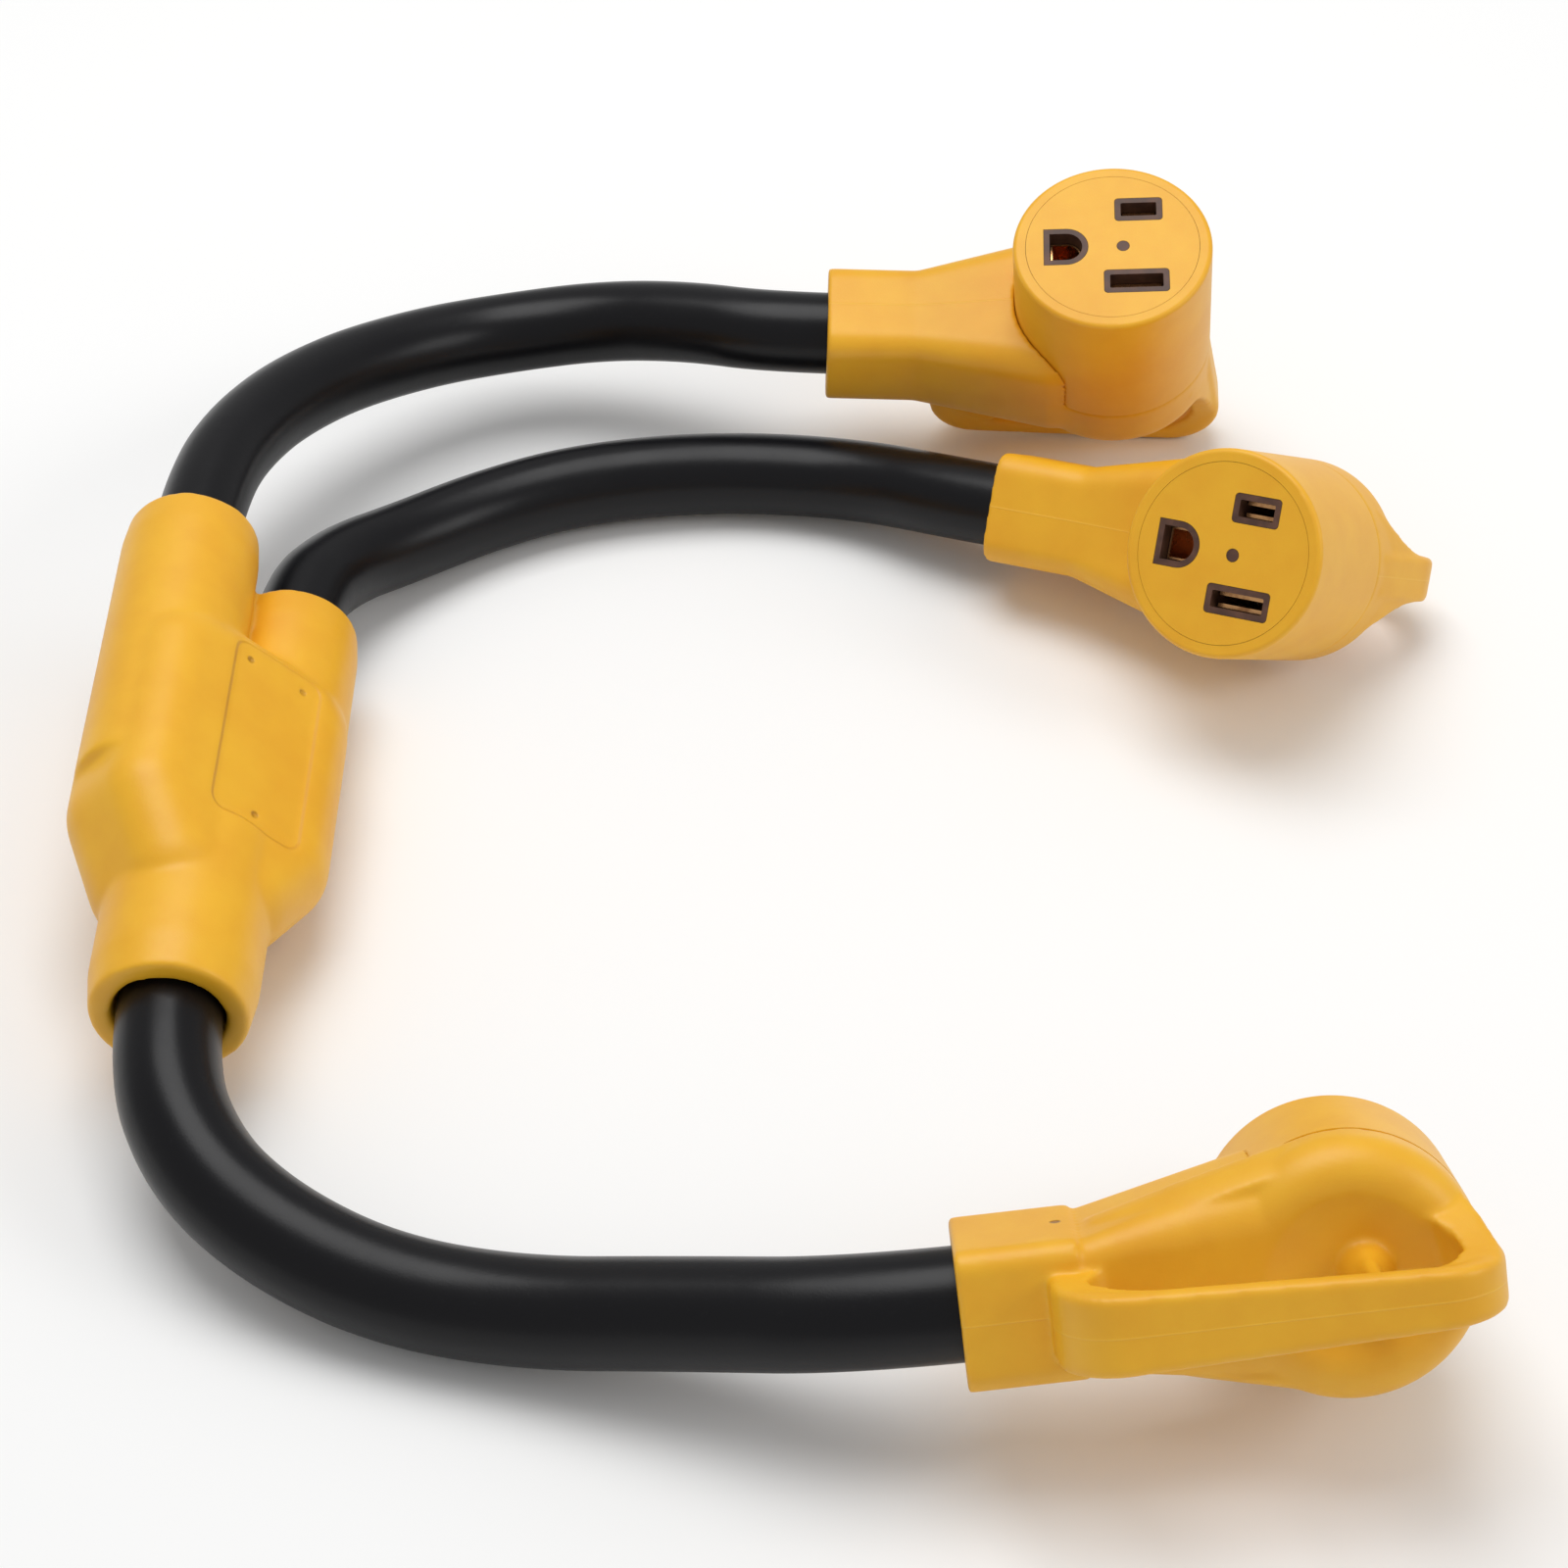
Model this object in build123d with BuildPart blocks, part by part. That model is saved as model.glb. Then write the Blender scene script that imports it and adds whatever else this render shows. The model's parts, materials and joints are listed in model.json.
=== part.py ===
from build123d import *

import os
from math import cos, pi, radians, sin, sqrt, tan

# A heavy caravan power adapter cord: one four-prong plug on a thick main cord, a moulded junction,
# and two short branch cords that each end in a three-contact socket with a carrying handle.
# Millimetres, +Z up. Everything lies on the floor, Z = 0, and the origin is under the middle of the
# mouldings. Each moulding is made in its own frame and then set down by its seat plane.

# ---- cords
main_cord_diameter = 23.0
branch_cord_diameter = 20.5
cord_entry_depth = 10.0  # how far a jacket runs into a moulding before it butts against its floor
entry_clearance = 0.1
wire_diameter = 5.4
wire_bend = 7.0
wire_start = 0.3  # a wire stands this far off the jacket that it comes out of

# ---- fits
seam_gap = 0.1  # between mouldings that meet at a visible seam
inner_gap = 0.2  # between sealed pieces that lie beside each other

# ---- crimp barrels, the same on every contact and prong
barrel_length = 11.0
barrel_wall = 1.0
barrel_radius = wire_diameter / 2 + inner_gap / 2 + barrel_wall

# ---- socket: face at z = 0 looking along +z, neck towards -x
socket_radius = 24.5
face_core_radius = 21.3
face_core_thickness = 8.0
drum_depth = 37.7
face_edge_radius = 1.2
cap_thickness = 14.0
cap_edge_radius = 4.5
cap_dish_radius = 16.0
cap_dish_depth = 2.5

socket_neck_width = 27.0
socket_neck_height = 26.0
socket_neck_corner = 5.5
socket_neck_length = 22.5
socket_neck_reach = 72.5  # head axis to the end of the neck
socket_neck_depth = 39.5  # neck axis below the face, at the head axis
socket_neck_rise = 5.2  # degrees that the neck axis climbs towards the face
socket_shoulder_width = 43.5
socket_shoulder_corner = 8.0
socket_shoulder_reach = 17.0
socket_shoulder_top = 20.0  # below the face

socket_grip_depths = (70.0, 78.5)  # outer side of the strap below the face, at the neck and at the head
socket_grip_thickness = 4.6
socket_grip_width = 11.0
socket_grip_neck_end = 47.5
socket_grip_head_end = 28.7
socket_grip_bend = 10.0
socket_post_x = -6.0
post_thickness = 3.4
post_width = 9.0
grip_edge_radius = 1.4

# ---- contact openings in a socket's face: centre x and y, inner length along x, inner width
hot_slot = (6.6, 11.1, 8.8, 4.0)
neutral_slot = (5.7, -10.6, 13.0, 4.0)
ground_slot = (-11.4, 0.2, 8.0, 8.0)
slot_rim = 1.4
slot_rim_corner = 1.0
carrier_thickness = 19.0
locating_pin_radius = 1.5
locating_pin_position = (2.6, 0.0)
jaw_thickness = 0.9
jaw_gap = 1.9
jaw_lead_in = 4.0  # top of the jaws below the face
socket_barrel_depth = 33.5
socket_duct_height = 12.5
socket_duct_width = 16.5  # at the neck
socket_duct_head_width = 33.0

# ---- plug: face at z = 0 looking along +z with the prongs, neck towards -x
plug_radius = 26.5
plug_front_depth = 26.0
plug_web = 18.0  # solid front of the plug that holds the prongs
plug_wall = 3.5
plug_back_thickness = 13.0
plug_back_edge = 8.0
plug_dish_radius = 17.0
plug_dish_depth = 3.0
plug_neck_width = 28.5
plug_neck_height = 30.5
plug_neck_corner = 4.0
plug_neck_length = 24.0
plug_neck_reach = 76.5
plug_neck_depth = 27.0
plug_neck_rise = 0.0
plug_shoulder_width = 43.0
plug_shoulder_corner = 11.0
plug_shoulder_reach = 16.0
plug_shoulder_top = 6.0
plug_grip_depths = (60.0, 60.0)
plug_grip_thickness = 5.0
plug_grip_root_width = 17.0
plug_grip_tip_width = 10.8
plug_grip_neck_end = 59.0
plug_grip_head_end = 29.0
plug_grip_bend = 11.0
plug_post_x = 2.5
plug_duct_height = 16.5
plug_duct_width = 15.5
plug_duct_head_width = 33.0

# ---- prongs
blade_width = 12.1
blade_thickness = 1.65
blade_length = 28.5
blade_tip = 2.5
hot_prong_y = 12.0
neutral_prong_x = -13.0
ground_prong_x = 13.5
ground_prong_width = 7.1
ground_prong_length = 31.5
prong_tail_width = 6.0

# ---- junction: end of the main collar at y = 0, the body runs along +y, label side at +z
main_collar_radius = 18.5
main_collar_reach = 47.0
main_collar_bore = 24.5
main_band = 9.0
main_taper = 1.2
branch_collar_radius = 16.2
branch_collar_spacing = 31.0
branch_collar_ends = (140.5, 130.5)  # the left collar stands out further
branch_collar_bore = 20.9
branch_band = 8.0
branch_taper = 0.8
body_width = 58.5
body_thickness = 35.0
body_start = 22.5
body_start_width = 30.0
body_shoulder = 47.5
body_end = 107.5
body_edge_radius = 12.0
body_corner_radius = 15.0
label_width = 24.0
label_length = 53.0
label_corner = 3.0
label_depth = 0.7
label_centre = (3.0, 73.0)
dimple_radius = 0.9
dimple_depth = 1.2
dimple_inset = 4.5
splice_block_width = 48.0
splice_block_thickness = 25.0
splice_block_corner = 3.0
splice_block_start = 48.0
splice_block_length = 48.0
splice_block_wall = 2.5
wire_space_length = 9.0
wire_space_width = 43.0
wire_space_height = 17.0
wire_duct_radius = 7.5
splice_block_mouth_radius = 9.5
lead_spread = 4.0  # past the start of the splice block
ferrule_length = 20.0
ferrule_wall = 1.0
ferrule_middle = 78.0
hot_ferrule_x = 13.5
shared_ferrule_z = 6.0
shared_ferrule_pitch = 5.6
core_offset = 4.2  # of a wire from the axis of the four-wire cord
branch_core_offset = 3.3  # of a wire from the axis of a three-wire cord

# ---- where each moulding lies
socket_a_seat = Plane(origin=(80.7, 146.1, 73.6), x_dir=(0.997, -0.041, 0.065), z_dir=(-0.075, -0.302, 0.951))
socket_b_seat = Plane(origin=(101.8, 54.5, 51.7), x_dir=(0.862, -0.475, 0.17), z_dir=(-0.482, -0.655, 0.582))
plug_seat = Plane(origin=(110.2, -126.8, 26.6), x_dir=(0.99, 0.078, 0.09), z_dir=(0.0, 0.839, -0.545))
junction_seat = Plane(
    origin=(-131.4, -69.2, 25.5), x_dir=(0.731, 0.0137, -0.682), z_dir=(0.682, -0.048, 0.731)
)

# ---- the cords' routes between the runs that lead out of the mouldings, chosen by hand
main_cord_route = [
    (-122.2, -105.8, 20.0),
    (-105.4, -120.8, 15.5),
    (-81.4, -132.3, 11.6),
    (-52.9, -139.3, 12.5),
    (-20.9, -146.3, 21.0),
]
branch_a_route = [
    (-130.7, 120.2, 39.5),
    (-114.9, 145.7, 34.0),
    (-92.9, 165.2, 28.5),
    (-70.9, 175.2, 26.0),
    (-46.9, 176.2, 29.0),
    (-24.9, 168.5, 34.5),
]
branch_b_route = [
    (-108.7, 92.2, 16.6),
    (-94.9, 106.2, 12.0),
    (-76.9, 120.2, 10.4),
    (-54.9, 130.7, 10.4),
    (-28.9, 135.9, 10.4),
    (-3.9, 136.5, 10.4),
    (21.1, 131.2, 12.0),
]
main_exit_runs = (24.0, 30.0)  # straight out of the junction and out of the plug
branch_a_exit_runs = (29.0, 24.0)
branch_b_exit_runs = (22.0, 24.0)

os.makedirs("parts", exist_ok=True)


def save(part, name, seat=Plane.XY):
    """Set a piece down by its seat, label it and write it."""
    placed = part.moved(seat.location)
    placed.label = name
    export_step(placed, f"parts/{name}.step")


def neck_plane(reach, depth, rise):
    """The cross-section of a neck at a distance from the head axis, facing along the cord."""
    slope = radians(rise)
    return Plane(
        origin=(-reach, 0, -depth + reach * tan(slope)), x_dir=(0, 1, 0), z_dir=(-cos(slope), 0, sin(slope))
    )


def side_plane(reach, height):
    """The cross-section where a shoulder leaves the head, facing along the neck."""
    return Plane(origin=(-reach, 0, height), x_dir=(0, 1, 0), z_dir=(-1, 0, 0))


def rod(points, diameter, bend):
    """A round rod along straight runs joined by tangent arcs."""
    with BuildPart() as bent_rod:
        with BuildLine() as route:
            if len(points) == 2:
                Line(*points)
            else:
                FilletPolyline(*points, radius=bend)
        with BuildSketch(Plane(origin=points[0], z_dir=Vector(*points[1]) - Vector(*points[0]))):
            Circle(diameter / 2)
        sweep(path=route.wire())
    return bent_rod.part


def duct_outline(entry_reach, neck_width, head_width):
    """The space for the wires between the cord and the contacts, seen from the face."""
    flare = entry_reach / 2
    entry = entry_reach + wire_start
    Polygon(
        (-entry, -neck_width / 2),
        (-flare, -head_width / 2),
        (0, -head_width / 2),
        (0, head_width / 2),
        (-flare, head_width / 2),
        (-entry, neck_width / 2),
        align=None,
    )


def strap(neck_end, head_end, head_top, depths, thickness, root_width, tip_width, bend, top):
    """The handle's strap: two legs and a straight run, tapered in width from neck to head."""
    half = thickness / 2
    neck_depth, head_depth = depths
    with BuildPart() as grip_strap:
        with BuildSketch(Plane.XZ):
            with BuildLine():
                FilletPolyline(
                    (-neck_end + half, top),
                    (-neck_end + half, half - neck_depth),
                    (head_end - half, half - head_depth),
                    (head_top - half, top),
                    radius=bend,
                )
            trace(line_width=thickness)
        extrude(amount=root_width / 2, both=True)
        with BuildSketch(Plane.XY.offset(top)):
            Polygon(
                (-neck_end - 1, -root_width / 2),
                (head_end + 1, -tip_width / 2),
                (head_end + 1, tip_width / 2),
                (-neck_end - 1, root_width / 2),
                align=None,
            )
        extrude(amount=-max(depths), both=True, mode=Mode.INTERSECT)
        fillet(grip_strap.edges().filter_by(GeomType.LINE, reverse=True), grip_edge_radius)
    return grip_strap.part


# ---- socket pieces

socket_entry_reach = socket_neck_reach - cord_entry_depth
socket_duct_floor = socket_barrel_depth + socket_duct_height / 2
socket_back = drum_depth + cap_thickness


def slot_outlines(grow, corner, mode):
    """The three contact openings, grown by an equal rim all round."""
    for x, y, length, width in (hot_slot, neutral_slot):
        with Locations((x, y)):
            RectangleRounded(length + 2 * grow, width + 2 * grow, corner, mode=mode)
    ground_outline(grow, mode)


def ground_outline(grow, mode):
    """The ground opening: flat towards the neck, round away from it."""
    x, y, length, width = ground_slot
    with Locations((x, y)):
        Circle(width / 2 + grow, mode=mode)
        Rectangle(length / 2 + grow, width + 2 * grow, align=(Align.MAX, Align.CENTER), mode=mode)


def make_socket_drum():
    """The front sleeve round the contact carrier, open towards the neck for the wires."""
    with BuildPart() as socket_drum:
        with BuildSketch():
            Circle(socket_radius)
        extrude(amount=-drum_depth)
        fillet(socket_drum.faces().sort_by(Axis.Z)[-1].edges(), face_edge_radius)
        with BuildSketch():
            Circle(face_core_radius + seam_gap)
        extrude(amount=-drum_depth, mode=Mode.SUBTRACT)
        with BuildSketch(Plane.XY.offset(-socket_duct_floor)):
            duct_outline(socket_entry_reach, socket_duct_width, socket_duct_head_width)
        extrude(amount=socket_duct_height, mode=Mode.SUBTRACT)
    return socket_drum.part


def make_face_core():
    """The disc of the face, pierced for the rims of the openings and for the pin."""
    with BuildPart() as face_core:
        with BuildSketch():
            Circle(face_core_radius)
            slot_outlines(slot_rim + seam_gap, slot_rim_corner, Mode.SUBTRACT)
            with Locations(locating_pin_position):
                Circle(locating_pin_radius + seam_gap, mode=Mode.SUBTRACT)
        extrude(amount=-face_core_thickness)
    return face_core.part


def make_contact_carrier():
    """The hard insulator behind the face. Its rims stand up round the openings, flush with the face."""
    top = face_core_thickness + seam_gap
    with BuildPart() as contact_carrier:
        with BuildSketch(Plane.XY.offset(-top)):
            Circle(face_core_radius)
        extrude(amount=-carrier_thickness)
        with BuildSketch(Plane.XY.offset(-top)):
            slot_outlines(slot_rim, slot_rim_corner, Mode.ADD)
        extrude(amount=top)
        with BuildSketch():
            slot_outlines(0, 0.4, Mode.ADD)
        extrude(amount=-top - carrier_thickness, mode=Mode.SUBTRACT)
    return contact_carrier.part


def make_locating_pin():
    """The pin that holds the carrier and the face disc in register."""
    with BuildPart() as locating_pin:
        with BuildSketch():
            with Locations(locating_pin_position):
                Circle(locating_pin_radius)
        extrude(amount=-face_core_thickness)
    return locating_pin.part


def crimp_barrel(x, y, z, mode=Mode.ADD):
    """A solid rod along x where a wire is gripped, added to the contact, or its bore, cut from it."""
    radius = barrel_radius if mode == Mode.ADD else barrel_radius - barrel_wall
    with Locations((x, y, z)):
        Cylinder(radius, barrel_length, rotation=(0, 90, 0), mode=mode)


def make_blade_contact(slot):
    """Two jaws that grip a blade, the web that joins them, and the crimp barrel under it."""
    x, y, length, width = slot
    jaw_length = length - 4 * inner_gap
    bottom = face_core_thickness + carrier_thickness
    with BuildPart() as blade_contact:
        with BuildSketch(Plane.XY.offset(-bottom)):
            for side in (-1, 1):
                with Locations((x, y + side * (jaw_gap + jaw_thickness) / 2)):
                    Rectangle(jaw_length, jaw_thickness)
        extrude(amount=bottom - jaw_lead_in)
        web = socket_barrel_depth - bottom
        with BuildSketch(Plane.XY.offset(-bottom)):
            with Locations((x, y)):
                Rectangle(min(jaw_length, barrel_length), jaw_gap + 2 * jaw_thickness)
        extrude(amount=-web)
        crimp_barrel(x, y, -socket_barrel_depth)
        crimp_barrel(x, y, -socket_barrel_depth, Mode.SUBTRACT)
    return blade_contact.part


def make_ground_contact():
    """A sleeve for the ground prong, on its web and crimp barrel."""
    x, y, length, width = ground_slot
    bottom = face_core_thickness + carrier_thickness
    with BuildPart() as ground_contact:
        with BuildSketch(Plane.XY.offset(-bottom)):
            ground_outline(-inner_gap, Mode.ADD)
            ground_outline(-inner_gap - jaw_thickness / 2, Mode.SUBTRACT)
        extrude(amount=bottom - jaw_lead_in)
        with BuildSketch(Plane.XY.offset(-bottom)):
            ground_outline(-inner_gap, Mode.ADD)
        extrude(amount=bottom - socket_barrel_depth)
        crimp_barrel(x, y, -socket_barrel_depth)
        crimp_barrel(x, y, -socket_barrel_depth, Mode.SUBTRACT)
    return ground_contact.part


def make_socket_overmould():
    """The rear moulding: cap, shoulder, neck and carrying handle in one."""
    neck_start = socket_neck_reach - socket_neck_length
    shoulder_height = socket_back - socket_shoulder_top
    shoulder_middle = -socket_shoulder_top - shoulder_height / 2
    shoulder_plane = side_plane(socket_shoulder_reach, shoulder_middle)
    dish_sphere = (cap_dish_radius**2 + cap_dish_depth**2) / (2 * cap_dish_depth)
    grip = strap(
        socket_grip_neck_end, socket_grip_head_end, socket_radius, socket_grip_depths, socket_grip_thickness,
        socket_grip_width, socket_grip_width, socket_grip_bend, -drum_depth - socket_grip_thickness,
    )
    with BuildPart() as socket_overmould:
        with BuildSketch(Plane.XY.offset(-drum_depth)):
            Circle(socket_radius)
        extrude(amount=-cap_thickness)
        fillet(socket_overmould.faces().sort_by(Axis.Z)[0].edges(), cap_edge_radius)
        with BuildSketch(neck_plane(neck_start, socket_neck_depth, socket_neck_rise)):
            RectangleRounded(socket_neck_width, socket_neck_height, socket_neck_corner)
        with BuildSketch(shoulder_plane):
            RectangleRounded(socket_shoulder_width, shoulder_height, socket_shoulder_corner)
        loft()
        with BuildSketch(shoulder_plane):
            RectangleRounded(socket_shoulder_width, shoulder_height, socket_shoulder_corner)
        extrude(amount=-(socket_shoulder_reach - 4))
        with BuildSketch(neck_plane(neck_start, socket_neck_depth, socket_neck_rise)):
            RectangleRounded(socket_neck_width, socket_neck_height, socket_neck_corner)
        extrude(amount=socket_neck_length)
        with Locations((0, 0, -socket_back - dish_sphere + cap_dish_depth)):
            Sphere(dish_sphere, mode=Mode.SUBTRACT)
        with BuildSketch(Plane.XY.offset(-socket_back + cap_dish_depth)):
            with Locations((socket_post_x, 0)):
                RectangleRounded(post_thickness, post_width, post_thickness / 3)
        extrude(amount=-(socket_grip_depths[0] - socket_back + cap_dish_depth - socket_grip_thickness / 2))
        add(grip)
        with BuildSketch():
            Circle(socket_radius + seam_gap)
        extrude(amount=-drum_depth, mode=Mode.SUBTRACT)
        with BuildSketch(Plane.XY.offset(-drum_depth)):
            Circle(face_core_radius)
        extrude(amount=drum_depth - socket_duct_floor, mode=Mode.SUBTRACT)
        with BuildSketch(Plane.XY.offset(-socket_duct_floor)):
            duct_outline(socket_entry_reach, socket_duct_width, socket_duct_head_width)
        extrude(amount=socket_duct_height, mode=Mode.SUBTRACT)
        with BuildSketch(neck_plane(socket_neck_reach, socket_neck_depth, socket_neck_rise)):
            Circle(branch_cord_diameter / 2 + entry_clearance)
        extrude(amount=-cord_entry_depth, mode=Mode.SUBTRACT)
    return socket_overmould.part


def make_socket_wire(slot, angle):
    """One wire from the cord's end to a barrel. The angle places it in the cord's section."""
    entry = neck_plane(socket_entry_reach - wire_start, socket_neck_depth, socket_neck_rise)
    across = branch_core_offset * sin(radians(angle))
    down = branch_core_offset * cos(radians(angle))
    start = entry.from_local_coords((across, down, 0))
    bend_in = entry.from_local_coords((across, down, -12))
    mouth = slot[0] - barrel_length / 2
    bend_out = (mouth - 12, slot[1], -socket_barrel_depth)
    gripped = (mouth + 8, slot[1], -socket_barrel_depth)
    return rod([start, bend_in, bend_out, gripped], wire_diameter, wire_bend)


# ---- plug pieces

plug_back = plug_front_depth + plug_back_thickness
plug_entry_reach = plug_neck_reach - cord_entry_depth
plug_duct_floor = plug_neck_depth + plug_duct_height / 2
plug_bore_radius = plug_radius - plug_wall
# Each prong: middle x and y in the face, then the y and depth of its crimp barrel.
hot_prong_a = (0, -hot_prong_y, -hot_prong_y, plug_neck_depth)
hot_prong_b = (0, hot_prong_y, hot_prong_y, plug_neck_depth)
neutral_prong = (neutral_prong_x, 0, 0, plug_neck_depth + core_offset)
ground_prong = (ground_prong_x, 0, barrel_radius + 2.5, plug_neck_depth - core_offset)


def make_plug_front():
    """The front of the plug: a thick web that holds the prongs, and a skirt round the crimps."""
    with BuildPart() as plug_front:
        with BuildSketch():
            Circle(plug_radius)
        extrude(amount=-plug_front_depth)
        fillet(plug_front.faces().sort_by(Axis.Z)[-1].edges(), face_edge_radius)
        with BuildSketch(Plane.XY.offset(-plug_web)):
            Circle(plug_bore_radius)
        extrude(amount=-plug_front_depth, mode=Mode.SUBTRACT)
        with BuildSketch(Plane.XY.offset(-plug_duct_floor)):
            duct_outline(plug_entry_reach, plug_duct_width, plug_duct_head_width)
        extrude(amount=plug_duct_floor - plug_web, mode=Mode.SUBTRACT)
        with BuildSketch():
            for x, y, barrel_y, depth in (hot_prong_a, hot_prong_b, neutral_prong):
                with Locations((x, y)):
                    Rectangle(blade_width + 2 * seam_gap, blade_thickness + 2 * seam_gap)
            with Locations((ground_prong_x, 0)):
                ground_prong_outline(seam_gap)
        extrude(amount=-plug_web, mode=Mode.SUBTRACT)
    return plug_front.part


def ground_prong_outline(grow):
    """The section of the ground prong: flat towards the neck, round away from it."""
    Circle(ground_prong_width / 2 + grow)
    Rectangle(ground_prong_width / 2 + grow, ground_prong_width + 2 * grow, align=(Align.MAX, Align.CENTER))


def make_blade(prong):
    """A flat prong with its tail and crimp barrel."""
    x, y, barrel_y, depth = prong
    with BuildPart() as blade:
        with BuildSketch(Plane.XY.offset(-plug_web)):
            with Locations((x, y)):
                Rectangle(blade_width, blade_thickness)
        extrude(amount=plug_web + blade_length)
        chamfer(blade.faces().sort_by(Axis.Z)[-1].edges().filter_by(Axis.Y), blade_tip)
        with BuildSketch(Plane.XY.offset(-plug_web)):
            with Locations((x, y)):
                Rectangle(prong_tail_width, 2 * blade_thickness)
        extrude(amount=plug_web - depth)
        crimp_barrel(x, barrel_y, -depth)
        crimp_barrel(x, barrel_y, -depth, Mode.SUBTRACT)
    return blade.part


def make_ground_prong():
    """The longer ground prong with its rounded tip, tail and crimp barrel."""
    x, y, barrel_y, depth = ground_prong
    with BuildPart() as earth_prong:
        with BuildSketch(Plane.XY.offset(-plug_web)):
            with Locations((x, y)):
                ground_prong_outline(0)
        extrude(amount=plug_web + ground_prong_length)
        chamfer(earth_prong.faces().sort_by(Axis.Z)[-1].edges(), 1.2)
        with BuildSketch(Plane.XY.offset(-plug_web)):
            with Locations((x, y)):
                Rectangle(prong_tail_width, ground_prong_width / 2, align=(Align.CENTER, Align.MIN))
        extrude(amount=plug_web - depth)
        crimp_barrel(x, barrel_y, -depth)
        crimp_barrel(x, barrel_y, -depth, Mode.SUBTRACT)
    return earth_prong.part


def make_plug_overmould():
    """The rear moulding of the plug: back, shoulder, neck and carrying handle in one."""
    neck_start = plug_neck_reach - plug_neck_length
    shoulder_height = plug_back - plug_shoulder_top
    shoulder_middle = -plug_shoulder_top - shoulder_height / 2
    dish_sphere = (plug_dish_radius**2 + plug_dish_depth**2) / (2 * plug_dish_depth)
    grip = strap(
        plug_grip_neck_end, plug_grip_head_end, plug_radius, plug_grip_depths, plug_grip_thickness,
        plug_grip_root_width, plug_grip_tip_width, plug_grip_bend, -plug_front_depth - plug_grip_thickness,
    )
    shoulder_plane = side_plane(plug_shoulder_reach, shoulder_middle)
    with BuildPart() as plug_overmould:
        with BuildSketch(Plane.XY.offset(-plug_front_depth)):
            Circle(plug_radius)
        extrude(amount=-plug_back_thickness)
        fillet(plug_overmould.faces().sort_by(Axis.Z)[0].edges(), plug_back_edge)
        with BuildSketch(neck_plane(neck_start, plug_neck_depth, plug_neck_rise)):
            RectangleRounded(plug_neck_width - 2, plug_neck_height - 2, plug_neck_corner)
        with BuildSketch(shoulder_plane):
            RectangleRounded(plug_shoulder_width, shoulder_height, plug_shoulder_corner)
        loft()
        with BuildSketch(shoulder_plane):
            RectangleRounded(plug_shoulder_width, shoulder_height, plug_shoulder_corner)
        extrude(amount=-(plug_shoulder_reach - 4))
        with BuildSketch(neck_plane(neck_start, plug_neck_depth, plug_neck_rise)):
            RectangleRounded(plug_neck_width, plug_neck_height, plug_neck_corner)
        extrude(amount=plug_neck_length)
        with Locations((0, 0, -plug_back - dish_sphere + plug_dish_depth)):
            Sphere(dish_sphere, mode=Mode.SUBTRACT)
        with BuildSketch(Plane.XY.offset(-plug_back + plug_dish_depth)):
            with Locations((plug_post_x, 0)):
                RectangleRounded(post_thickness, post_width, post_thickness / 3)
        extrude(amount=-(plug_grip_depths[0] - plug_back + plug_dish_depth - plug_grip_thickness / 2))
        add(grip)
        with BuildSketch():
            Circle(plug_radius + seam_gap)
        extrude(amount=-plug_front_depth, mode=Mode.SUBTRACT)
        with BuildSketch(Plane.XY.offset(-plug_front_depth)):
            Circle(plug_bore_radius)
        extrude(amount=-(plug_duct_floor - plug_front_depth), mode=Mode.SUBTRACT)
        with BuildSketch(Plane.XY.offset(-plug_duct_floor)):
            duct_outline(plug_entry_reach, plug_duct_width, plug_duct_head_width)
        extrude(amount=plug_duct_height, mode=Mode.SUBTRACT)
        with BuildSketch(neck_plane(plug_neck_reach, plug_neck_depth, plug_neck_rise)):
            Circle(main_cord_diameter / 2 + entry_clearance)
        extrude(amount=-cord_entry_depth, mode=Mode.SUBTRACT)
    return plug_overmould.part


def make_plug_wire(prong, angle):
    """One wire from the main cord's end to a prong's barrel."""
    x, y, barrel_y, depth = prong
    entry = neck_plane(plug_entry_reach - wire_start, plug_neck_depth, plug_neck_rise)
    across = core_offset * sin(radians(angle))
    down = core_offset * cos(radians(angle))
    start = entry.from_local_coords((across, down, 0))
    bend_in = entry.from_local_coords((across, down, -14))
    mouth = x - barrel_length / 2
    gripped = (mouth + 8, barrel_y, -depth)
    if barrel_y == 0:  # straight into its barrel
        return rod([start, gripped], wire_diameter, wire_bend)
    return rod([start, bend_in, (mouth - 11, barrel_y, -depth), gripped], wire_diameter, wire_bend)


# ---- junction pieces

left_x = -branch_collar_spacing / 2
right_x = branch_collar_spacing / 2
splice_block_end = splice_block_start + splice_block_length
branch_collars = ((left_x, branch_collar_ends[0]), (right_x, branch_collar_ends[1]))


def collar_profile(x, near, far, radius, band, taper):
    """Half the section of a collar that ends at far, with its slightly drawn-in end band."""
    side = 1 if far > near else -1
    Polygon(
        (x, near),
        (x + radius, near),
        (x + radius, far - side * band),
        (x + radius - taper, far),
        (x, far),
        align=None,
    )


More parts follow.
